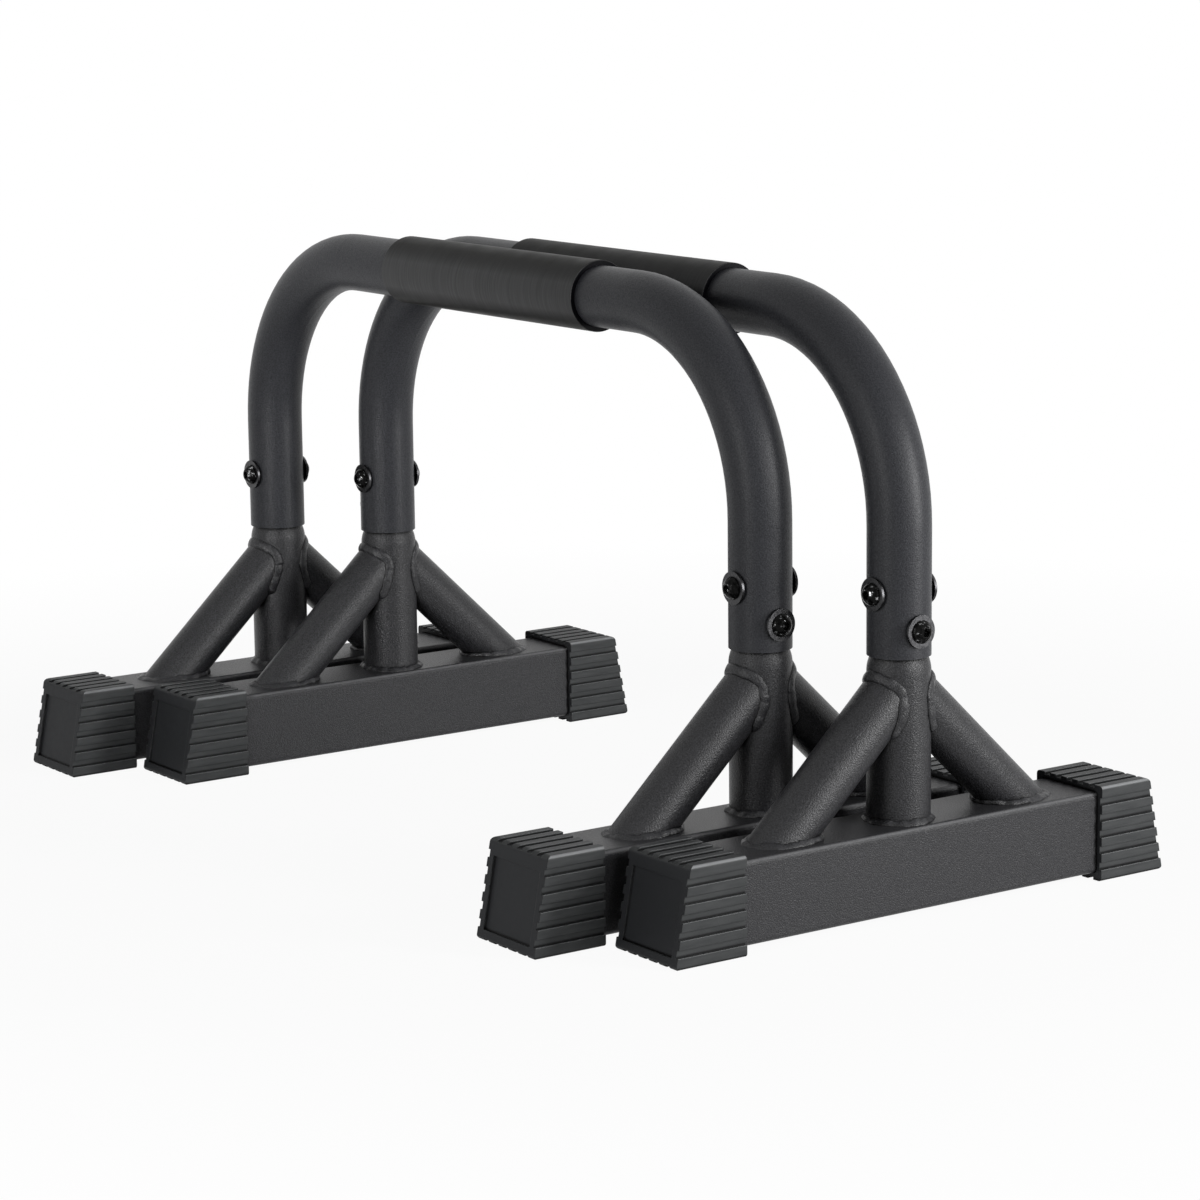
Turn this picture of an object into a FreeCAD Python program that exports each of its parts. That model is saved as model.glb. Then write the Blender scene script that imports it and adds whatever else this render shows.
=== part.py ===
import FreeCAD, Part
import math
import os

# A nested pair of gymnastics parallette bars. Millimetres, +Z up, floor at Z = 0.
# X runs along the handles, Y along the feet. The origin is on the floor, at the centre of the pair.

Vector = FreeCAD.Vector
ORIGIN = Vector(0, 0, 0)
ALONG_HANDLE = Vector(1, 0, 0)
ALONG_FOOT = Vector(0, 1, 0)
UP = Vector(0, 0, 1)

# Round tube of the handle and the uprights
tube_diameter = 48.0
tube_wall = 2.6

# Handle: two straight legs, two bends and the gripped run between them
leg_spacing = 710.0
leg_straight = 95.6
bend_radius = 150.0

# Grip sleeve, a little off the middle of the handle
grip_wall = 3.9
grip_length = 276.0
grip_offset = 14.0
grip_edge_radius = 0.8

# Foot beam, a square tube
beam_side = 63.5
beam_wall = 2.5
beam_corner_radius = 4.0

# Slanted braces, measured from where the upright's axis meets the beam's top face
brace_diameter = 41.3
brace_wall = 2.0
brace_reach = 110.0
brace_rise = 104.0

# Bare stretches between a brace and the handle above it, and between a brace and the cap
neck_gap = 14.5
toe_gap = 23.0

# Swaged shoulder of the upright, and the spigot above it
shoulder_height = 12.0
spigot_wall = 2.5
spigot_margin = 16.0

# Weld beads
foot_weld_size = 4.5
brace_weld_size = 4.0

# Rubber end caps with lengthwise ribs and a slanted end
cap_wall = 5.3
cap_cover = 40.0
cap_end_wall = 9.0
cap_slant = 14.0
cap_corner_radius = 3.0
cap_brow_radius = 5.0
cap_toe_radius = 3.0
groove_count = 5
groove_depth = 2.2
middle_rib_width = 6.7
corner_rib_width = 9.0
panel_side_border = 7.4
panel_low_border = 8.5
panel_high_border = 12.5
panel_depth = 2.0

# Bolts, washers and weld nuts
bolt_diameter = 10.0
bolt_length = 20.0
head_diameter = 17.5
head_height = 5.5
head_rim = 0.8
crown_diameter = 9.0
socket_width = 6.0
socket_depth = 3.2
washer_diameter = 25.0
washer_thickness = 2.0
nut_width = 17.0
nut_height = 8.0
lower_bolt_rise = 20.5
upper_bolt_rise = 47.5

# Clearances
spigot_clearance = 0.3
grip_clearance = 0.1
cap_clearance = 0.2
weld_clearance = 0.1
hole_clearance = 0.5
thread_clearance = 0.1
nut_clearance = 0.1

# How the two bars stand nested: free space between their feet, and between their grips
foot_gap = 9.5
grip_gap = 8.0

# Cutting tools reach this far past the faces that they cut
overrun = 20.0

# Two directions count as parallel when the cosine between them is above this
parallel_share = 0.999

# Radii
tube_radius = tube_diameter / 2
tube_bore_radius = tube_radius - tube_wall
spigot_radius = tube_bore_radius - spigot_clearance
spigot_bore_radius = spigot_radius - spigot_wall
brace_radius = brace_diameter / 2
grip_bore_radius = tube_radius + grip_clearance
grip_radius = grip_bore_radius + grip_wall
hole_radius = bolt_diameter / 2 + hole_clearance

# Heights above the floor
cap_cavity_side = beam_side + 2 * cap_clearance
cap_side = cap_cavity_side + 2 * cap_wall
beam_centre_height = cap_side / 2
beam_top = beam_centre_height + beam_side / 2
brace_angle = math.atan2(brace_rise, brace_reach)
brace_top = beam_top + brace_rise - tube_radius * math.tan(brace_angle) + brace_radius / math.cos(brace_angle)
handle_bottom = brace_top + neck_gap
shoulder_bottom = handle_bottom - shoulder_height
lower_bolt_height = handle_bottom + lower_bolt_rise
upper_bolt_height = handle_bottom + upper_bolt_rise
spigot_top = upper_bolt_height + spigot_margin
bend_start_height = handle_bottom + leg_straight
handle_height = bend_start_height + bend_radius

# Distances from the middle of the handle, and from the upright along the foot
half_spacing = leg_spacing / 2
brace_toe = brace_reach + (brace_radius + foot_weld_size) / math.sin(brace_angle)
cap_mouth = brace_toe + toe_gap
beam_end = cap_mouth + cap_cover
cap_cavity_end = beam_end + cap_clearance
cap_brow = cap_cavity_end + cap_end_wall
cap_toe = cap_brow + cap_slant
brace_foot = Vector(0, brace_reach, beam_top)
brace_head = Vector(0, 0, beam_top + brace_rise)

# Step from the first bar to the second
nesting_step = Vector(cap_side + foot_gap, 2 * grip_radius + grip_gap, 0)


def rod(start, end, radius):
    """Solid round bar between two points."""
    return Part.makeCylinder(radius, (end - start).Length, start, end - start)


def turned(shape, degrees):
    """Copy of a shape turned about the upright's axis."""
    copy = shape.copy()
    copy.rotate(ORIGIN, UP, degrees)
    return copy


def edges_along(shape, direction):
    """Straight edges that run along a direction."""
    return [edge for edge in shape.Edges if abs(edge.tangentAt(edge.FirstParameter).dot(direction)) > parallel_share]


def square_bar(side, corner_radius, start, end):
    """Bar along Y with rounded long edges, centred on the beam's axis."""
    corner = Vector(-side / 2, start, beam_centre_height - side / 2)
    box = Part.makeBox(side, end - start, side, corner)
    return box.makeFillet(corner_radius, edges_along(box, ALONG_FOOT))


def bolt_places(outer):
    """Turn and height of a leg's three bolts: two opposite ones, and a lower one on the outer side."""
    outer_turn = 0 if outer > 0 else 180
    return [(90, upper_bolt_height), (-90, upper_bolt_height), (outer_turn, lower_bolt_height)]


def bolt_holes(outer):
    """Radial drill for every bolt of a leg that stands on the Z axis."""
    holes = []
    for turn, height in bolt_places(outer):
        drill = rod(Vector(0, 0, height), Vector(tube_radius + overrun, 0, height), hole_radius)
        holes.append(turned(drill, turn))
    return holes


def bend(outer):
    """Quarter circle from the top of a leg to the end of the gripped run."""
    centre = Vector(outer * (half_spacing - bend_radius), 0, bend_start_height)
    points = []
    for degrees in (0, 45, 90):
        angle = math.radians(degrees)
        points.append(centre + Vector(outer * math.cos(angle), 0, math.sin(angle)) * bend_radius)
    return Part.Arc(points[0], points[1], points[2]).toShape()


def bent_bar(radius):
    """Solid round bar along the handle's line."""
    left_low = Vector(-half_spacing, 0, handle_bottom)
    left_high = Vector(-half_spacing, 0, bend_start_height)
    run_left = Vector(bend_radius - half_spacing, 0, handle_height)
    run_right = Vector(half_spacing - bend_radius, 0, handle_height)
    right_high = Vector(half_spacing, 0, bend_start_height)
    right_low = Vector(half_spacing, 0, handle_bottom)
    path = Part.Wire([
        Part.makeLine(left_low, left_high),
        bend(-1),
        Part.makeLine(run_left, run_right),
        bend(1),
        Part.makeLine(right_high, right_low),
    ])
    section = Part.Wire(Part.makeCircle(radius, left_low, UP))
    return path.makePipeShell([section], True, False)


def make_handle_tube():
    tube = bent_bar(tube_radius).cut(bent_bar(tube_bore_radius))
    for outer in (-1, 1):
        for hole in bolt_holes(outer):
            hole.translate(Vector(outer * half_spacing, 0, 0))
            tube = tube.cut(hole)
    return tube


def make_grip_sleeve():
    start = Vector(grip_offset - grip_length / 2, 0, handle_height)
    end = Vector(grip_offset + grip_length / 2, 0, handle_height)
    sleeve = rod(start, end, grip_radius)
    rims = [edge for edge in sleeve.Edges if edge.Closed]
    sleeve = sleeve.makeFillet(grip_edge_radius, rims)
    return sleeve.cut(rod(start, end, grip_bore_radius))


def make_beam():
    outside = square_bar(beam_side, beam_corner_radius, -beam_end, beam_end)
    inside = square_bar(beam_side - 2 * beam_wall, beam_corner_radius - beam_wall, -beam_end, beam_end)
    return outside.cut(inside)


def make_upright(outer):
    """Turned profile: plain tube, rounded shoulder, then the spigot that slips into the handle."""
    shoulder_step = tube_radius - spigot_radius
    shoulder_radius = (shoulder_step ** 2 + shoulder_height ** 2) / (2 * shoulder_step)
    half_angle = math.asin(shoulder_height / shoulder_radius) / 2
    shoulder_mid = Vector(
        tube_radius - shoulder_radius * (1 - math.cos(half_angle)),
        0,
        shoulder_bottom + shoulder_radius * math.sin(half_angle),
    )
    foot_outside = Vector(tube_radius, 0, beam_top)
    shoulder_low = Vector(tube_radius, 0, shoulder_bottom)
    shoulder_high = Vector(spigot_radius, 0, handle_bottom)
    top_outside = Vector(spigot_radius, 0, spigot_top)
    top_inside = Vector(spigot_bore_radius, 0, spigot_top)
    bore_high = Vector(spigot_bore_radius, 0, handle_bottom)
    bore_low = Vector(tube_bore_radius, 0, shoulder_bottom)
    foot_inside = Vector(tube_bore_radius, 0, beam_top)
    outline = Part.Wire([
        Part.makeLine(foot_outside, shoulder_low),
        Part.Arc(shoulder_low, shoulder_mid, shoulder_high).toShape(),
        Part.makeLine(shoulder_high, top_outside),
        Part.makeLine(top_outside, top_inside),
        Part.makeLine(top_inside, bore_high),
        Part.makeLine(bore_high, bore_low),
        Part.makeLine(bore_low, foot_inside),
        Part.makeLine(foot_inside, foot_outside),
    ])
    upright = Part.Face(outline).revolve(ORIGIN, UP, 360)
    for hole in bolt_holes(outer):
        upright = upright.cut(hole)
    return upright


def brace_rod(radius):
    """Rear brace as a plain bar, from below the beam's top face to the upright's axis."""
    direction = (brace_head - brace_foot).normalize()
    return rod(brace_foot - direction * (radius + overrun), brace_head, radius)


def layer_on_beam(low, high):
    """Wide flat block between two heights, measured from the beam's top face."""
    reach = brace_toe + overrun
    return Part.makeBox(2 * reach, 2 * reach, high - low, Vector(-reach, -reach, beam_top + low))


def outermost(shape):
    """The solid of a shape that lies furthest along the foot."""
    return max(shape.Solids, key=lambda solid: solid.CenterOfMass.y)


def upright_room():
    """Bar that the welded pieces keep clear of."""
    return rod(ORIGIN, Vector(0, 0, spigot_top), tube_radius + weld_clearance)


def make_brace(side):
    tube = brace_rod(brace_radius).cut(brace_rod(brace_radius - brace_wall))
    tube = tube.cut(layer_on_beam(-beam_top, 0)).cut(upright_room())
    return turned(outermost(tube), 0 if side > 0 else 180)


def brace_foot_bead():
    """Bead on the beam round the foot of the rear brace."""
    bead = brace_rod(brace_radius + foot_weld_size).cut(brace_rod(brace_radius + weld_clearance))
    return bead.common(layer_on_beam(0, foot_weld_size))


def brace_head_bead():
    """Bead on the upright round the head of the rear brace."""
    bead = brace_rod(brace_radius + weld_clearance + brace_weld_size)
    bead = bead.common(rod(ORIGIN, Vector(0, 0, spigot_top), tube_radius + weld_clearance + brace_weld_size))
    bead = bead.cut(brace_rod(brace_radius + weld_clearance)).cut(upright_room())
    return outermost(bead.cut(layer_on_beam(-beam_top, 0)))


def upright_bead():
    """Bead on the beam round the foot of the upright."""
    top = Vector(0, 0, beam_top + foot_weld_size)
    return rod(Vector(0, 0, beam_top), top, tube_radius + foot_weld_size).cut(upright_room())


def make_welds():
    beads = [upright_bead()]
    for bead in (brace_foot_bead(), brace_head_bead()):
        beads.append(bead)
        beads.append(turned(bead, 180))
    return Part.makeCompound([solid for bead in beads for solid in bead.Solids])


def cap_side_block():
    """Side view of the rear cap: slanted end, rounded brow, small radius at the toe."""
    left = -cap_side / 2
    mouth_low = Vector(left, cap_mouth, 0)
    toe = Vector(left, cap_toe, 0)
    brow = Vector(left, cap_brow, cap_side)
    mouth_high = Vector(left, cap_mouth, cap_side)
    outline = Part.makePolygon([mouth_low, toe, brow, mouth_high, mouth_low])
    block = Part.Face(outline).extrude(Vector(cap_side, 0, 0))
    brow_edge = max(edges_along(block, ALONG_HANDLE), key=lambda edge: edge.CenterOfMass.y + edge.CenterOfMass.z)
    block = block.makeFillet(cap_brow_radius, [brow_edge])
    toe_edge = max(edges_along(block, ALONG_HANDLE), key=lambda edge: edge.CenterOfMass.y - edge.CenterOfMass.z)
    return block.makeFillet(cap_toe_radius, [toe_edge])


def cap_grooves():
    """Straight grooves along the cap, the same on all four sides."""
    middle_ribs = groove_count - 1
    groove_width = (cap_side - 2 * corner_rib_width - middle_ribs * middle_rib_width) / groove_count
    pitch = groove_width + middle_rib_width
    length = cap_toe - cap_mouth + 2 * overrun
    centre = Vector(0, 0, beam_centre_height)
    cutters = []
    for quarter in range(4):
        for index in range(groove_count):
            left = -cap_side / 2 + corner_rib_width + index * pitch
            corner = Vector(left, cap_mouth - overrun, cap_side - groove_depth)
            cutter = Part.makeBox(groove_width, length, groove_depth + overrun, corner)
            cutter.rotate(centre, ALONG_FOOT, 90 * quarter)
            cutters.append(cutter)
    return cutters


def cap_panel():
    """Shallow recess in the slanted end face."""
    width = cap_side - 2 * panel_side_border
    height = math.hypot(cap_slant, cap_side) - panel_low_border - panel_high_border
    panel = Part.makeBox(width, panel_depth + overrun, height, Vector(-width / 2, -panel_depth, panel_low_border))
    panel.rotate(ORIGIN, ALONG_HANDLE, math.degrees(math.atan2(cap_slant, cap_side)))
    panel.translate(Vector(0, cap_toe, 0))
    return panel


def make_cap(side):
    body = square_bar(cap_side, cap_corner_radius, cap_mouth, cap_toe)
    body = body.common(cap_side_block())
    body = body.cut(cap_grooves())
    body = body.cut(cap_panel())
    cavity = square_bar(cap_cavity_side, beam_corner_radius, cap_mouth - overrun, cap_cavity_end)
    return turned(body.cut(cavity), 0 if side > 0 else 180)


def hexagon_bar(width, start, end):
    """Six-sided bar along X between two distances from the upright's axis."""
    corner_radius = width / math.sqrt(3)
    corners = []
    for index in range(7):
        angle = math.radians(60 * index)
        corners.append(Vector(start, corner_radius * math.cos(angle), corner_radius * math.sin(angle)))
    return Part.Face(Part.makePolygon(corners)).extrude(Vector(end - start, 0, 0))


def bolt_head(seat):
    """Button head: low rim, part of a sphere, flat crown with a hexagon socket."""
    rim_radius = head_diameter / 2
    crown_radius = crown_diameter / 2
    dome_rise = head_height - head_rim
    sphere_offset = (crown_radius ** 2 + head_height ** 2 - rim_radius ** 2 - head_rim ** 2) / (2 * dome_rise)
    sphere_radius = math.hypot(rim_radius, head_rim - sphere_offset)
    rim_angle = math.atan2(rim_radius, head_rim - sphere_offset)
    crown_angle = math.atan2(crown_radius, head_height - sphere_offset)
    middle_angle = (rim_angle + crown_angle) / 2
    seat_centre = Vector(seat, 0, 0)
    seat_edge = Vector(seat, 0, rim_radius)
    rim_edge = Vector(seat + head_rim, 0, rim_radius)
    dome_middle = Vector(
        seat + sphere_offset + sphere_radius * math.cos(middle_angle),
        0,
        sphere_radius * math.sin(middle_angle),
    )
    crown_edge = Vector(seat + head_height, 0, crown_radius)
    crown_centre = Vector(seat + head_height, 0, 0)
    outline = Part.Wire([
        Part.makeLine(seat_centre, seat_edge),
        Part.makeLine(seat_edge, rim_edge),
        Part.Arc(rim_edge, dome_middle, crown_edge).toShape(),
        Part.makeLine(crown_edge, crown_centre),
        Part.makeLine(crown_centre, seat_centre),
    ])
    head = Part.Face(outline).revolve(ORIGIN, ALONG_HANDLE, 360)
    return head.cut(hexagon_bar(socket_width, seat + head_height - socket_depth, seat + head_height + overrun))


def make_bolt():
    """Bolt along X, its head outside the washer."""
    seat = tube_radius + washer_thickness
    shank = rod(Vector(seat - bolt_length, 0, 0), Vector(seat, 0, 0), bolt_diameter / 2)
    return bolt_head(seat).fuse(shank).removeSplitter()


def make_washer():
    inner = Vector(tube_radius, 0, 0)
    outer = Vector(tube_radius + washer_thickness, 0, 0)
    return rod(inner, outer, washer_diameter / 2).cut(rod(inner, outer, hole_radius))


def make_nut():
    """Weld nut whose outer end follows the spigot's bore."""
    nut = hexagon_bar(nut_width, spigot_bore_radius - nut_height, spigot_bore_radius)
    bore = rod(Vector(0, 0, -nut_width), Vector(0, 0, nut_width), spigot_bore_radius - nut_clearance)
    thread = rod(ORIGIN, Vector(tube_radius, 0, 0), bolt_diameter / 2 + thread_clearance)
    return nut.common(bore).cut(thread)


def fastener_group(piece, outer):
    """The same fastener at each of a leg's three bolt places."""
    copies = []
    for turn, height in bolt_places(outer):
        copy = turned(piece, turn)
        copy.translate(Vector(0, 0, height))
        copies.append(copy)
    return Part.makeCompound(copies)


def make_base(outer):
    """All pieces of one base frame, standing with its upright on the Z axis."""
    return {
        "foot_beam": make_beam(),
        "upright": make_upright(outer),
        "front_brace": make_brace(-1),
        "rear_brace": make_brace(1),
        "weld_beads": make_welds(),
        "front_cap": make_cap(-1),
        "rear_cap": make_cap(1),
        "bolts": fastener_group(make_bolt(), outer),
        "washers": fastener_group(make_washer(), outer),
        "weld_nuts": fastener_group(make_nut(), outer),
    }


def make_bar():
    """All pieces of one bar, centred on the Z axis."""
    pieces = {"handle_tube": make_handle_tube(), "grip_sleeve": make_grip_sleeve()}
    for base_name, outer in (("left", -1), ("right", 1)):
        for piece_name, shape in make_base(outer).items():
            shape.translate(Vector(outer * half_spacing, 0, 0))
            pieces[base_name + "_" + piece_name] = shape
    return pieces


def main():
    os.makedirs("parts", exist_ok=True)
    pieces = make_bar()
    for bar_name, direction in (("bar_one", -1), ("bar_two", 1)):
        for piece_name, shape in pieces.items():
            placed = shape.copy()
            placed.translate(nesting_step * (direction / 2))
            placed.exportStep("parts/" + bar_name + "_" + piece_name + ".step")


main()
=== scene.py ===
import math

import bmesh
import bpy
from mathutils import Matrix, Vector


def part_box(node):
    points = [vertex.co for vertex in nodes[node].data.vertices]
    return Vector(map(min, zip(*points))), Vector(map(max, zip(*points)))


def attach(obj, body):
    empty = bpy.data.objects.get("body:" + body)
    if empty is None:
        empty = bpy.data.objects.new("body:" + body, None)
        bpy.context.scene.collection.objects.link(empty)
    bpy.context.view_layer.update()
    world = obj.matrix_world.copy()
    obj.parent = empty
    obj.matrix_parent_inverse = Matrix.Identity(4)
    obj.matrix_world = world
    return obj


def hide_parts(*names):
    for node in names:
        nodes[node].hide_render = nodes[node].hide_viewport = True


# A nested pair of black parallette bars in a white studio. Metres, same frame as the CAD part.

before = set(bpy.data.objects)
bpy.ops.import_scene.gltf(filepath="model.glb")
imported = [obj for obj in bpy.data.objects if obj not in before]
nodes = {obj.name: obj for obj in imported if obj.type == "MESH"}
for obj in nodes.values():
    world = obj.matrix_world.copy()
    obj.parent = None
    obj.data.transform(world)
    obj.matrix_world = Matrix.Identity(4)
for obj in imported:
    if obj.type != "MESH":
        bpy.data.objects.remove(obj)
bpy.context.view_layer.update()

BARS = ("bar_one", "bar_two")
SIDES = ("left", "right")

# Camera, fitted to the photograph
CAMERA_PLACE = Vector((2.5017, -1.7088, 0.7502))
CAMERA_YAW = math.radians(55.019)
CAMERA_PITCH = math.radians(-10.690)
CAMERA_ROLL = math.radians(-0.680)
CAMERA_LENS = 113.17
SENSOR_WIDTH = 36.0

# How far the camera sees, past the rim of the floor
CAMERA_SIGHT = 200

# Lines that the braces follow, from the corner of the upright's axis and the beam's top face
BRACE_REACH = 0.110
BRACE_RISE = 0.104

# About how much longer a brace's slanted end is round its edge than the brace is round its middle
SLANTED_GIRTH = 1.25

# Weld beads: width, and shares of it for the swell, the ripples and the unevenness
FOOT_BEAD = {"width": 0.0036, "swell": 0.22, "ripple": 0.07, "uneven": 0.36}
SADDLE_BEAD = {"width": 0.0044, "swell": 0.34, "ripple": 0.09, "uneven": 0.22}

# How deep a bead's rims lie below the surfaces, and the steps of its mesh along and across
WELD_SINK = 0.0008
WELD_STEP = 0.0006
WELD_PROFILE_POINTS = 10

# Scales of a bead: length, and how far they bow along the bead, as a share of it
WELD_SCALE_LENGTH = 0.0105
WELD_SCALE_BOW = 0.25

# Unevenness along a bead: waves and lumps as (radians a metre, shift for each unit of the seed, weight)
WELD_WAVES = ((95, 2.1, 0.4), (263, 4.7, 0.3), (611, 1.3, 0.2))
WELD_LUMPS = (71, 3.7, 0.6)
LUMP_SHARPNESS = 6
SWELL_UNEVENNESS = 0.4

# Seeds: steps from bar to bar and side to side, and from a bead's first rim to its second and its swell
BAR_SEED = 3.0
SIDE_SEED = 1.4
SECOND_RIM_SEED = 5
SWELL_SEED = 9

# The bead at a brace's head ends at this height, a share of the brace's radius, and fades over this much
SADDLE_END = -0.80
SADDLE_FADE = 0.2

# Range that a noise mostly keeps to
NOISE_LOW = 0.3
NOISE_HIGH = 0.7

# Test for the painted shade in corners: its rays, and how far it leans downwards on the caps
CORNER_SAMPLES = 8
DOWNWARD_LEAN = 0.8

# Slant over which a painted highlight on an edge comes up
EDGE_FADE = 0.2

# Black that the painted shade in corners falls to
PAINTED_SHADE_BLACK = (0.001, 0.001, 0.001)

# Floor: near the object a share of its brightness comes from the light, further out it is plain white
FLOOR_RADIUS = 60.0
FLOOR_POINTS = 96
SHADOW_RADIUS = 0.6
WHITE_RADIUS = 1.3
NEAR_GLOW_SHARE = 0.94

# Faint light of the room
ROOM_COLOUR = (0.9, 0.95, 1.0, 1)
ROOM_STRENGTH = 0.011


# Helpers for shader nodes

def new_material(name):
    """Material with its node tree and its main shader."""
    material = bpy.data.materials.new(name)
    material.use_nodes = True
    return material, material.node_tree, material.node_tree.nodes["Principled BSDF"]


def add_node(tree, kind, **inputs):
    """New node, with constant values on the inputs that are named."""
    node = tree.nodes.new(kind)
    for name, value in inputs.items():
        node.inputs[name].default_value = value
    return node


def compute(tree, operation, *values):
    """Result of one step of arithmetic on values from other nodes."""
    node = tree.nodes.new("ShaderNodeMath")
    node.operation = operation
    for place, value in enumerate(values):
        tree.links.new(value, node.inputs[place])
    return node.outputs["Value"]


def split_axes(tree, vector):
    """The outputs X, Y and Z of a vector."""
    split = tree.nodes.new("ShaderNodeSeparateXYZ")
    tree.links.new(vector, split.inputs["Vector"])
    return split.outputs


def object_place(tree):
    return tree.nodes.new("ShaderNodeTexCoord").outputs["Object"]


def surface_normal(tree):
    return tree.nodes.new("ShaderNodeNewGeometry").outputs["Normal"]


def stretched_place(tree, scale):
    """Place on the object, with a scale of its own for each axis."""
    mapping = add_node(tree, "ShaderNodeMapping", Scale=scale)
    tree.links.new(object_place(tree), mapping.inputs["Vector"])
    return mapping.outputs["Vector"]


def noise(tree, place, scale, detail):
    node = add_node(tree, "ShaderNodeTexNoise", Scale=scale, Detail=detail)
    tree.links.new(place, node.inputs["Vector"])
    return node.outputs["Fac"]


def ramp(tree, value, start, end, low, high):
    """Value that goes from low to high while the given one goes from start to end."""
    node = tree.nodes.new("ShaderNodeMapRange")
    node.inputs["From Min"].default_value = start
    node.inputs["From Max"].default_value = end
    node.inputs["To Min"].default_value = low
    node.inputs["To Max"].default_value = high
    tree.links.new(value, node.inputs["Value"])
    return node.outputs["Result"]


def spread(tree, value, low, high):
    """Maps a noise's middle range onto low to high."""
    return ramp(tree, value, NOISE_LOW, NOISE_HIGH, low, high)


def tint(tree, value, dark, pale):
    """Colour between two tones, driven by a noise."""
    node = tree.nodes.new("ShaderNodeValToRGB")
    first, last = node.color_ramp.elements
    first.position = NOISE_LOW
    first.color = (*dark, 1)
    last.position = NOISE_HIGH
    last.color = (*pale, 1)
    tree.links.new(value, node.inputs["Fac"])
    return node.outputs["Color"]


def blend_colours(tree, share, first, second):
    """First colour, a plain tone, where the share is 0, and the second, from a node, where it is 1."""
    mix = tree.nodes.new("ShaderNodeMix")
    mix.data_type = "RGBA"
    mix.inputs["A"].default_value = (*first, 1)
    tree.links.new(share, mix.inputs["Factor"])
    tree.links.new(second, mix.inputs["B"])
    return mix.outputs["Result"]


def downward_normal(tree):
    """Surface normal leaned towards the ground."""
    lean = tree.nodes.new("ShaderNodeVectorMath")
    lean.operation = "SUBTRACT"
    lean.inputs[1].default_value = (0, 0, DOWNWARD_LEAN)
    tree.links.new(surface_normal(tree), lean.inputs[0])
    level = tree.nodes.new("ShaderNodeVectorMath")
    level.operation = "NORMALIZE"
    tree.links.new(lean.outputs["Vector"], level.inputs[0])
    return level.outputs["Vector"]


def painted_corner_shade(tree, colour, reach, shut, clear, normal=None):
    """Colour with painted shade that falls to black in corners, as their openness falls from clear to shut.
    """
    corner = add_node(tree, "ShaderNodeAmbientOcclusion", Distance=reach)
    corner.samples = CORNER_SAMPLES
    if normal is not None:
        tree.links.new(normal, corner.inputs["Normal"])
    openness = ramp(tree, corner.outputs["AO"], shut, clear, low=0, high=1)
    return blend_colours(tree, openness, PAINTED_SHADE_BLACK, colour)


def painted_edge_highlight(tree, normal, colour, pale, start):
    """Colour with a painted highlight along lengthwise edges that face slantwise upwards, from a given
    slant on.
    """
    axes = split_axes(tree, normal)
    slant = compute(tree, "MULTIPLY", compute(tree, "ABSOLUTE", axes["X"]), axes["Z"])
    plainness = ramp(tree, slant, start, start + EDGE_FADE, low=1, high=0)
    return blend_colours(tree, plainness, pale, colour)


def share_beside(tree, axis, start, end):
    """One on faces along an axis, falling to zero on faces square to it, between two sizes of the slant."""
    size = compute(tree, "ABSOLUTE", split_axes(tree, surface_normal(tree))[axis])
    return ramp(tree, size, start, end, low=1, high=0)


def soft_edges(tree, radius):
    """Normal that rounds off sharp edges."""
    return add_node(tree, "ShaderNodeBevel", Radius=radius).outputs["Normal"]


def bump(tree, height, distance, strength, below=None):
    """Normal of a surface roughened by a noise, on top of another normal if one is given."""
    node = add_node(tree, "ShaderNodeBump", Distance=distance, Strength=strength)
    tree.links.new(height, node.inputs["Height"])
    if below is not None:
        tree.links.new(below, node.inputs["Normal"])
    return node.outputs["Normal"]


# Materials

def handle_paint():
    """Satin powder coat with a fine sandy grain."""
    material, tree, shader = new_material("handle_paint")
    place = object_place(tree)
    grain = noise(tree, place, scale=900, detail=1)
    waves = noise(tree, place, scale=260, detail=2)
    colour = tint(tree, grain, dark=(0.014, 0.0145, 0.0170), pale=(0.034, 0.035, 0.0395))
    normal = bump(tree, waves, distance=0.0003, strength=0.3)
    normal = bump(tree, grain, distance=0.0003, strength=0.6, below=normal)
    tree.links.new(colour, shader.inputs["Base Color"])
    tree.links.new(spread(tree, grain, low=0.44, high=0.36), shader.inputs["Roughness"])
    shader.inputs["Specular IOR Level"].default_value = 0.19
    tree.links.new(normal, shader.inputs["Normal"])
    return material


def base_paint(name, dark, pale, highlight_tone, shine):
    """Powder coat with a stronger grain than the handle's, which glitters where the light strikes it, with
    painted shade in corners and a painted highlight along upper edges.
    """
    material, tree, shader = new_material(name)
    place = object_place(tree)
    grain = noise(tree, place, scale=1000, detail=1)
    waves = noise(tree, place, scale=150, detail=2)
    edges = soft_edges(tree, radius=0.0007)
    colour = tint(tree, grain, dark, pale)
    # Painted shade in corners and at the toes of the welds, and a painted highlight along upper edges
    colour = painted_corner_shade(tree, colour, reach=0.004, shut=0.55, clear=0.92)
    colour = painted_edge_highlight(tree, edges, colour, highlight_tone, start=0.37)
    normal = bump(tree, waves, distance=0.0004, strength=0.2, below=edges)
    normal = bump(tree, grain, distance=0.0005, strength=0.8, below=normal)
    tree.links.new(colour, shader.inputs["Base Color"])
    tree.links.new(spread(tree, grain, low=0.40, high=0.30), shader.inputs["Roughness"])
    shader.inputs["Specular IOR Level"].default_value = shine
    tree.links.new(normal, shader.inputs["Normal"])
    return material


def beam_paint():
    """Paint of the beams, with a painted highlight along their upper edges."""
    return base_paint(
        "beam_paint",
        dark=(0.020, 0.020, 0.0215),
        pale=(0.041, 0.041, 0.0435),
        # Tone of the painted highlight along the upper edges
        highlight_tone=(0.17, 0.17, 0.175),
        shine=0.16,
    )


def stand_paint():
    """Paint of the uprights, the braces and their welds."""
    return base_paint(
        "stand_paint",
        dark=(0.004, 0.004, 0.0045),
        pale=(0.035, 0.035, 0.038),
        # Tone of the painted highlight along the upper edges
        highlight_tone=(0.035, 0.035, 0.038),
        shine=0.26,
    )


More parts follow.
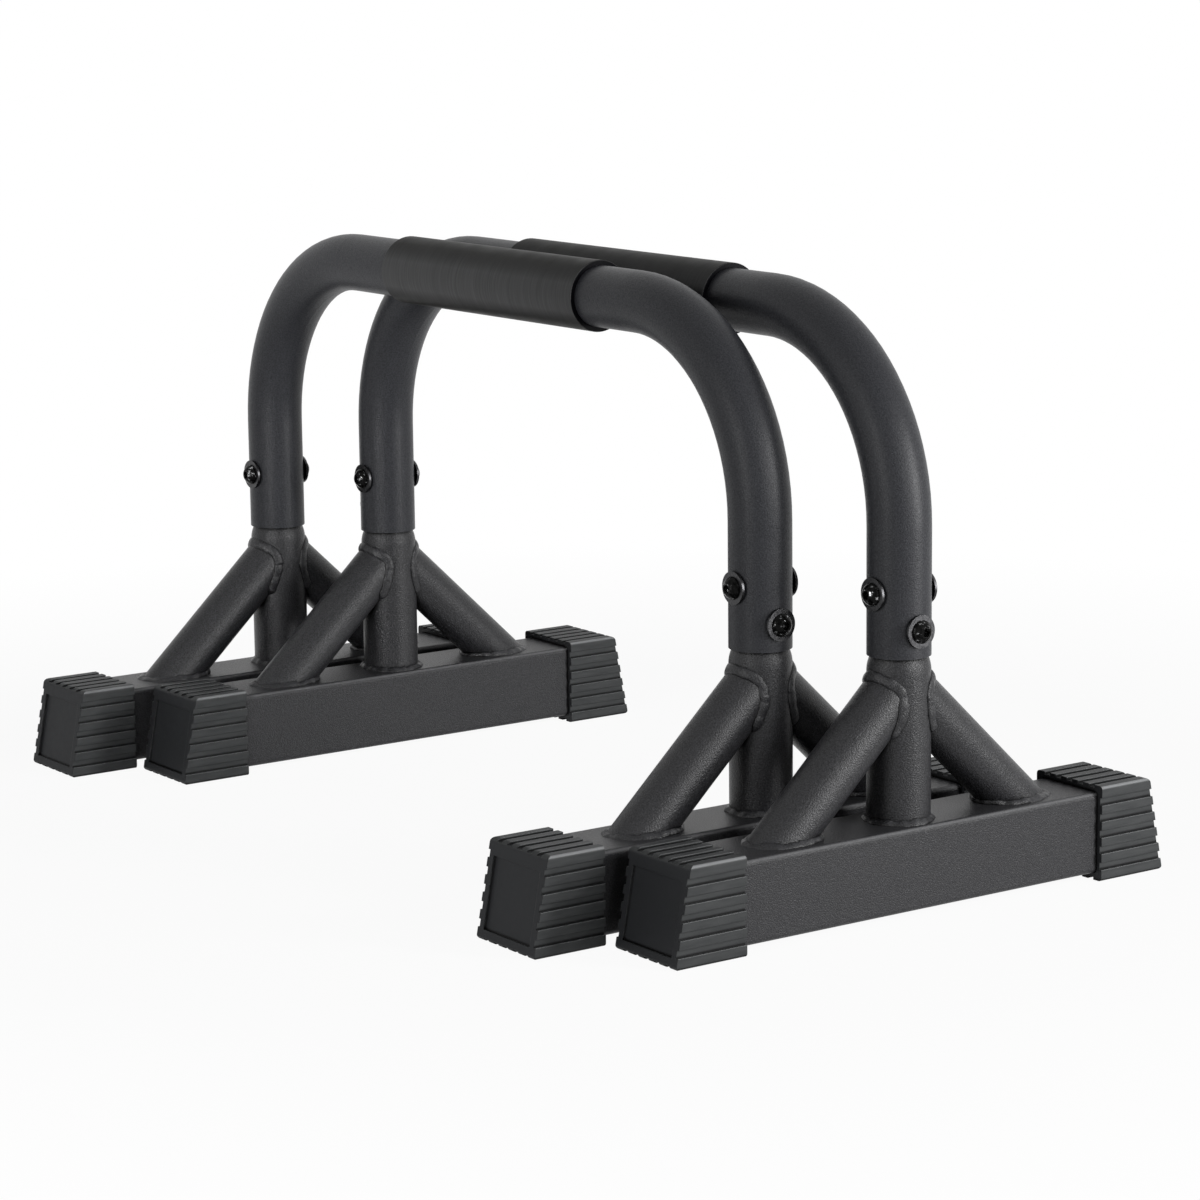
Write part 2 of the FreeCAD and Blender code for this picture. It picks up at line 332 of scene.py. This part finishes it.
def grip_rubber():
    """Smooth sleeve with very fine lines round it, with painted shade above and below and on its end faces.
    """
    material, tree, shader = new_material("grip_rubber")
    # Tones of painted shade: on faces turned up and down, and on the end faces
    above_below_shade = (0.012, 0.012, 0.011)
    cut_end_shade = (0.003, 0.003, 0.004)
    lines = noise(tree, stretched_place(tree, (900, 26, 26)), scale=1, detail=3)
    cloud = noise(tree, object_place(tree), scale=60, detail=2)
    colour = tint(tree, lines, dark=(0.060, 0.060, 0.061), pale=(0.084, 0.084, 0.085))
    # Painted shade above and below, then on the end faces
    colour = blend_colours(tree, share_beside(tree, "Z", start=0.40, end=0.85), above_below_shade, colour)
    colour = blend_colours(tree, share_beside(tree, "X", start=0.75, end=0.95), cut_end_shade, colour)
    tree.links.new(colour, shader.inputs["Base Color"])
    tree.links.new(spread(tree, cloud, low=0.38, high=0.46), shader.inputs["Roughness"])
    shader.inputs["Specular IOR Level"].default_value = 0.04
    tree.links.new(bump(tree, lines, distance=0.0002, strength=0.4), shader.inputs["Normal"])
    return material


def cap_rubber():
    """Moulded black rubber with a slight sheen, with a painted highlight along its upper edges, painted
    shade on the end panels and painted shade in its corners.
    """
    material, tree, shader = new_material("cap_rubber")
    # Tones of the painted shade on the end panels and of the painted highlight along upper edges
    panel_shade = (0.026, 0.027, 0.029)
    edge_highlight = (0.24, 0.245, 0.25)
    streaks = noise(tree, stretched_place(tree, (240, 40, 240)), scale=1, detail=2)
    pores = noise(tree, object_place(tree), scale=800, detail=2)
    edges = soft_edges(tree, radius=0.0009)
    colour = tint(tree, streaks, dark=(0.040, 0.042, 0.043), pale=(0.054, 0.056, 0.057))
    # Painted shade on the end panels, a painted highlight along upper edges and painted shade in corners
    colour = blend_colours(tree, share_beside(tree, "Y", start=0.80, end=0.95), panel_shade, colour)
    colour = painted_edge_highlight(tree, edges, colour, edge_highlight, start=0.25)
    colour = painted_corner_shade(tree, colour, reach=0.0025, shut=0.45, clear=0.85, normal=downward_normal(tree))
    tree.links.new(colour, shader.inputs["Base Color"])
    tree.links.new(spread(tree, streaks, low=0.40, high=0.48), shader.inputs["Roughness"])
    shader.inputs["Specular IOR Level"].default_value = 0.08
    tree.links.new(bump(tree, pores, distance=0.0001, strength=0.3, below=edges), shader.inputs["Normal"])
    return material


def plain_metal(name, dark, pale, smooth, rough):
    """Metal finish with faint marks."""
    material, tree, shader = new_material(name)
    marks = noise(tree, object_place(tree), scale=500, detail=3)
    edges = soft_edges(tree, radius=0.0004)
    tree.links.new(tint(tree, marks, dark, pale), shader.inputs["Base Color"])
    tree.links.new(spread(tree, marks, smooth, rough), shader.inputs["Roughness"])
    shader.inputs["Metallic"].default_value = 1.0
    tree.links.new(bump(tree, marks, distance=0.00005, strength=0.3, below=edges), shader.inputs["Normal"])
    return material


def washer_steel():
    """Blackened steel."""
    return plain_metal(
        "washer_steel",
        dark=(0.035, 0.035, 0.037),
        pale=(0.065, 0.065, 0.067),
        smooth=0.24,
        rough=0.36,
    )


def nut_steel():
    """Bare steel."""
    return plain_metal(
        "nut_steel",
        dark=(0.35, 0.35, 0.35),
        pale=(0.45, 0.45, 0.45),
        smooth=0.35,
        rough=0.5,
    )


def bolt_steel():
    """Black oxide that wears through to bright steel in small spots."""
    material, tree, shader = new_material("bolt_steel")
    bright = (0.32, 0.325, 0.33)
    wear_start = 0.61
    wear_end = 0.69
    marks = noise(tree, object_place(tree), scale=330, detail=2)
    oxide = tint(tree, marks, dark=(0.002, 0.002, 0.002), pale=(0.004, 0.004, 0.004))
    covered = ramp(tree, marks, wear_start, wear_end, low=1, high=0)
    bare = ramp(tree, marks, wear_start, wear_end, low=0, high=1)
    tree.links.new(blend_colours(tree, covered, bright, oxide), shader.inputs["Base Color"])
    tree.links.new(bare, shader.inputs["Metallic"])
    tree.links.new(spread(tree, marks, low=0.20, high=0.12), shader.inputs["Roughness"])
    tree.links.new(spread(tree, marks, low=0.02, high=0.12), shader.inputs["Specular IOR Level"])
    tree.links.new(soft_edges(tree, radius=0.0007), shader.inputs["Normal"])
    return material


def white_for_camera(tree):
    """One for what is seen directly, in a reflection or through glass; zero for light on the object."""
    path = tree.nodes.new("ShaderNodeLightPath").outputs
    seen = compute(tree, "MAXIMUM", path["Is Camera Ray"], path["Is Glossy Ray"])
    return compute(tree, "MAXIMUM", seen, path["Is Transmission Ray"])


def floor_glow_share(tree):
    """Share of the floor's own white: smaller near the object, where the shadow falls."""
    distance = tree.nodes.new("ShaderNodeVectorMath")
    distance.operation = "LENGTH"
    tree.links.new(object_place(tree), distance.inputs[0])
    glow = ramp(tree, distance.outputs["Value"], SHADOW_RADIUS, WHITE_RADIUS, NEAR_GLOW_SHARE, high=1)
    return compute(tree, "MULTIPLY", white_for_camera(tree), glow)


def floor_white():
    """Pale floor that shows white and keeps a soft shadow."""
    material, tree, shader = new_material("floor_white")
    mottle = noise(tree, object_place(tree), scale=3, detail=2)
    colour = tint(tree, mottle, dark=(0.78, 0.78, 0.78), pale=(0.80, 0.80, 0.80))
    tree.links.new(colour, shader.inputs["Base Color"])
    shader.inputs["Roughness"].default_value = 0.9
    shader.inputs["Specular IOR Level"].default_value = 0.0
    glow = add_node(tree, "ShaderNodeEmission", Strength=1.0)
    mix = tree.nodes.new("ShaderNodeMixShader")
    tree.links.new(floor_glow_share(tree), mix.inputs["Fac"])
    tree.links.new(shader.outputs["BSDF"], mix.inputs[1])
    tree.links.new(glow.outputs["Emission"], mix.inputs[2])
    tree.links.new(mix.outputs["Shader"], tree.nodes["Material Output"].inputs["Surface"])
    return material


# Mesh pieces

def mesh_object(name, bm):
    """Smooth shaded piece made of a mesh under construction."""
    bmesh.ops.recalc_face_normals(bm, faces=bm.faces)
    mesh = bpy.data.meshes.new(name)
    bm.to_mesh(mesh)
    bm.free()
    mesh.shade_smooth()
    piece = bpy.data.objects.new(name, mesh)
    bpy.context.scene.collection.objects.link(piece)
    return piece


# Weld beads

def unevenness(distance, seed):
    """Slow, hand-made looking variation along a weld with a lump here and there, about one in size."""
    total = 0
    for pace, shift, weight in WELD_WAVES:
        total += weight * math.sin(distance * pace + seed * shift)
    pace, shift, weight = WELD_LUMPS
    lump = max(0, math.sin(distance * pace + seed * shift)) ** LUMP_SHARPNESS
    return total + weight * lump


def across(normal, along, towards):
    """Direction in a surface, square to a line on it, pointing to the given side."""
    side = normal.cross(along).normalized()
    return side if side.dot(towards) > 0 else -side


def weld_section(point, along, first, second, bead, width, distance, seed):
    """One closed cross-section of a bead that lies in the corner between two surfaces."""
    out = (first + second).normalized()
    first_width = width * (1 + bead["uneven"] * unevenness(distance, seed))
    second_width = width * (1 + bead["uneven"] * unevenness(distance, seed + SECOND_RIM_SEED))
    start = point + across(first, along, second) * first_width - first * WELD_SINK
    end = point + across(second, along, first) * second_width - second * WELD_SINK
    swell = bead["swell"] + SWELL_UNEVENNESS * bead["uneven"] * unevenness(distance, seed + SWELL_SEED)
    section = [point - out * WELD_SINK]
    for index in range(WELD_PROFILE_POINTS):
        share = index / (WELD_PROFILE_POINTS - 1)
        arch = (4 * share * (1 - share)) ** 0.5
        scale_share = (distance / WELD_SCALE_LENGTH + WELD_SCALE_BOW * arch + seed) % 1
        ripple = 1 - (2 * scale_share - 1) ** 2
        height = width * (swell + bead["ripple"] * ripple)
        section.append(start.lerp(end, share) + out * (height * arch))
    return section


def add_weld(bm, line, bead, seed):
    """Bead along a closed line of (point, first surface's normal, second surface's normal, fullness)."""
    rings = []
    distance = 0.0
    count = len(line)
    for index, (point, first, second, fullness) in enumerate(line):
        before = line[index - 1][0]
        after = line[(index + 1) % count][0]
        along = (after - before).normalized()
        width = bead["width"] * fullness
        section = weld_section(point, along, first, second, bead, width, distance, seed)
        rings.append([bm.verts.new(place) for place in section])
        distance += (after - point).length
    for index, ring in enumerate(rings):
        following = rings[(index + 1) % count]
        for place in range(len(ring)):
            beside = (place + 1) % len(ring)
            bm.faces.new((ring[place], ring[beside], following[beside], following[place]))


def even_turns(length):
    """Angles of a closed line of about the given length, one step apart."""
    count = round(length / WELD_STEP)
    return [math.tau * index / count for index in range(count)]


def upright_foot_line(centre, beam_top, tube_radius):
    """Circle where an upright stands on its beam."""
    up = Vector((0, 0, 1))
    line = []
    for turn in even_turns(math.tau * tube_radius):
        outward = Vector((math.cos(turn), math.sin(turn), 0))
        line.append((centre + outward * tube_radius + up * beam_top, up, outward, 1))
    return line


def brace_line(direction):
    """Direction of a brace's axis, from the beam up to the upright."""
    return Vector((0, -direction * BRACE_REACH, BRACE_RISE)).normalized()


def brace_ring(centre, beam_top, brace_radius, direction):
    """Points round a brace, square to its axis at its foot, as (height share, outward direction, point)."""
    sideways = Vector((1, 0, 0))
    upper = brace_line(direction).cross(sideways) * direction
    foot = centre + Vector((0, direction * BRACE_REACH, beam_top))
    ring = []
    for turn in even_turns(math.tau * brace_radius * SLANTED_GIRTH):
        outward = sideways * math.cos(turn) + upper * math.sin(turn)
        ring.append((math.sin(turn), outward, foot + outward * brace_radius))
    return ring


def brace_foot_line(centre, beam_top, brace_radius, direction):
    """Oval where a brace meets the beam."""
    up = Vector((0, 0, 1))
    along = brace_line(direction)
    line = []
    for _, outward, point in brace_ring(centre, beam_top, brace_radius, direction):
        point -= along * ((point.z - beam_top) / along.z)
        line.append((point, up, outward, 1))
    return line


def saddle_fullness(height_share):
    """The bead at a brace's head is full above and at the sides, and stops short of the underside."""
    rise = min(max((height_share - SADDLE_END) / SADDLE_FADE, 0), 1)
    return rise * rise * (3 - 2 * rise)


def brace_head_line(centre, beam_top, tube_radius, brace_radius, direction):
    """Saddle-shaped line where a brace meets the upright."""
    along = brace_line(direction)
    line = []
    for height_share, outward, point in brace_ring(centre, beam_top, brace_radius, direction):
        offset = point - centre
        depth = math.sqrt(tube_radius ** 2 - offset.x ** 2)
        point += along * ((direction * depth - offset.y) / along.y)
        radial = Vector((point.x - centre.x, point.y - centre.y, 0)).normalized()
        line.append((point, radial, outward, saddle_fullness(height_share)))
    return line


def make_welds(bar, side):
    """All beads of one base frame, in one piece."""
    prefix = f"{bar}_{side}_"
    low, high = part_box(prefix + "upright")
    brace_low, brace_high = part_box(prefix + "front_brace")
    tube_radius = (high.x - low.x) / 2
    brace_radius = (brace_high.x - brace_low.x) / 2
    centre = Vector(((low.x + high.x) / 2, (low.y + high.y) / 2, 0))
    beam_top = low.z
    seed = BAR_SEED * BARS.index(bar) + SIDE_SEED * SIDES.index(side)
    bm = bmesh.new()
    add_weld(bm, upright_foot_line(centre, beam_top, tube_radius), FOOT_BEAD, seed)
    for direction in (-1, 1):
        foot_line = brace_foot_line(centre, beam_top, brace_radius, direction)
        add_weld(bm, foot_line, FOOT_BEAD, seed + direction)
        head_line = brace_head_line(centre, beam_top, tube_radius, brace_radius, direction)
        add_weld(bm, head_line, SADDLE_BEAD, seed + 2 * direction)
    welds = mesh_object(prefix + "welds", bm)
    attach(welds, bar)
    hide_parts(prefix + "weld_beads")
    return welds


# Studio

def make_floor():
    """Round floor of the studio."""
    bm = bmesh.new()
    rim = []
    for index in range(FLOOR_POINTS):
        turn = math.tau * index / FLOOR_POINTS
        rim.append(bm.verts.new((FLOOR_RADIUS * math.cos(turn), FLOOR_RADIUS * math.sin(turn), 0)))
    bm.faces.new(rim)
    floor = mesh_object("floor", bm)
    floor.data.materials.append(floor_white())


def make_world():
    """White to the eye and in reflections, with only a faint light of its own on the object."""
    world = bpy.data.worlds.new("studio")
    world.use_nodes = True
    tree = world.node_tree
    backdrop = tree.nodes["Background"]
    backdrop.inputs["Color"].default_value = (1, 1, 1, 1)
    backdrop.inputs["Strength"].default_value = 1.0
    room = add_node(tree, "ShaderNodeBackground", Color=ROOM_COLOUR, Strength=ROOM_STRENGTH)
    mix = tree.nodes.new("ShaderNodeMixShader")
    tree.links.new(white_for_camera(tree), mix.inputs["Fac"])
    tree.links.new(room.outputs["Background"], mix.inputs[1])
    tree.links.new(backdrop.outputs["Background"], mix.inputs[2])
    tree.links.new(mix.outputs["Shader"], tree.nodes["World Output"].inputs["Surface"])
    bpy.context.scene.world = world


def add_softbox(name, place, aim, width, height, power, spread_angle=180):
    """Rectangular lamp that points at its aim; the camera does not see it."""
    light = bpy.data.lights.new(name, "AREA")
    light.shape = "RECTANGLE"
    light.size = width
    light.size_y = height
    light.energy = power
    light.spread = math.radians(spread_angle)
    lamp = bpy.data.objects.new(name, light)
    lamp.location = place
    lamp.rotation_euler = (Vector(aim) - Vector(place)).to_track_quat("-Z", "Y").to_euler()
    lamp.visible_camera = False
    bpy.context.scene.collection.objects.link(lamp)


def make_lights():
    """Two strong lamps on the right, and weak ones in front for the streaks on the tubes."""
    middle = (0, 0, 0.2)
    far_handle = (-0.36, 0, 0.38)
    add_softbox("key_right", (2.12, 1.14, 0.65), middle, width=0.45, height=1.3, power=46)
    add_softbox("side_right", (2.6, 0.2, 0.9), middle, width=1.2, height=1.6, power=21)
    add_softbox("strip_front", (0.58, -1.30, 0.50), middle, width=0.20, height=1.0, power=5.5)
    add_softbox("fill_front", (-0.5, -2.6, 1.0), middle, width=1.2, height=1.2, power=3)
    add_softbox(
        "strip_far", (0.30, -1.35, 0.55), far_handle, width=0.20, height=0.6, power=0.5, spread_angle=40
    )


def make_camera():
    """Camera at the photograph's point of view."""
    sight = Vector((
        -math.sin(CAMERA_YAW) * math.cos(CAMERA_PITCH),
        math.cos(CAMERA_YAW) * math.cos(CAMERA_PITCH),
        math.sin(CAMERA_PITCH),
    ))
    level = Vector((math.cos(CAMERA_YAW), math.sin(CAMERA_YAW), 0))
    upright = level.cross(sight)
    right = level * math.cos(CAMERA_ROLL) + upright * math.sin(CAMERA_ROLL)
    up = upright * math.cos(CAMERA_ROLL) - level * math.sin(CAMERA_ROLL)
    settings = bpy.data.cameras.new("camera")
    settings.lens = CAMERA_LENS
    settings.sensor_width = SENSOR_WIDTH
    settings.clip_end = CAMERA_SIGHT
    camera = bpy.data.objects.new("camera", settings)
    camera.matrix_world = Matrix((right, up, -sight)).transposed().to_4x4()
    camera.location = CAMERA_PLACE
    bpy.context.scene.collection.objects.link(camera)
    bpy.context.scene.camera = camera


# Assembly of the scene

def dress(name, material):
    """Gives a CAD piece its material."""
    piece = nodes[name]
    piece.data.materials.clear()
    piece.data.materials.append(material)


def dress_all():
    """Materials for all pieces, and the welds."""
    beam = beam_paint()
    stand = stand_paint()
    handle = handle_paint()
    grip = grip_rubber()
    rubber = cap_rubber()
    base_pieces = {
        "foot_beam": beam,
        "upright": stand,
        "front_brace": stand,
        "rear_brace": stand,
        "front_cap": rubber,
        "rear_cap": rubber,
        "bolts": bolt_steel(),
        "washers": washer_steel(),
        "weld_nuts": nut_steel(),
    }
    for bar in BARS:
        dress(bar + "_handle_tube", handle)
        dress(bar + "_grip_sleeve", grip)
        for side in SIDES:
            for piece, material in base_pieces.items():
                dress(f"{bar}_{side}_{piece}", material)
            make_welds(bar, side).data.materials.append(stand)


dress_all()
make_floor()
make_world()
make_lights()
make_camera()
bpy.context.scene.view_settings.view_transform = "Standard"
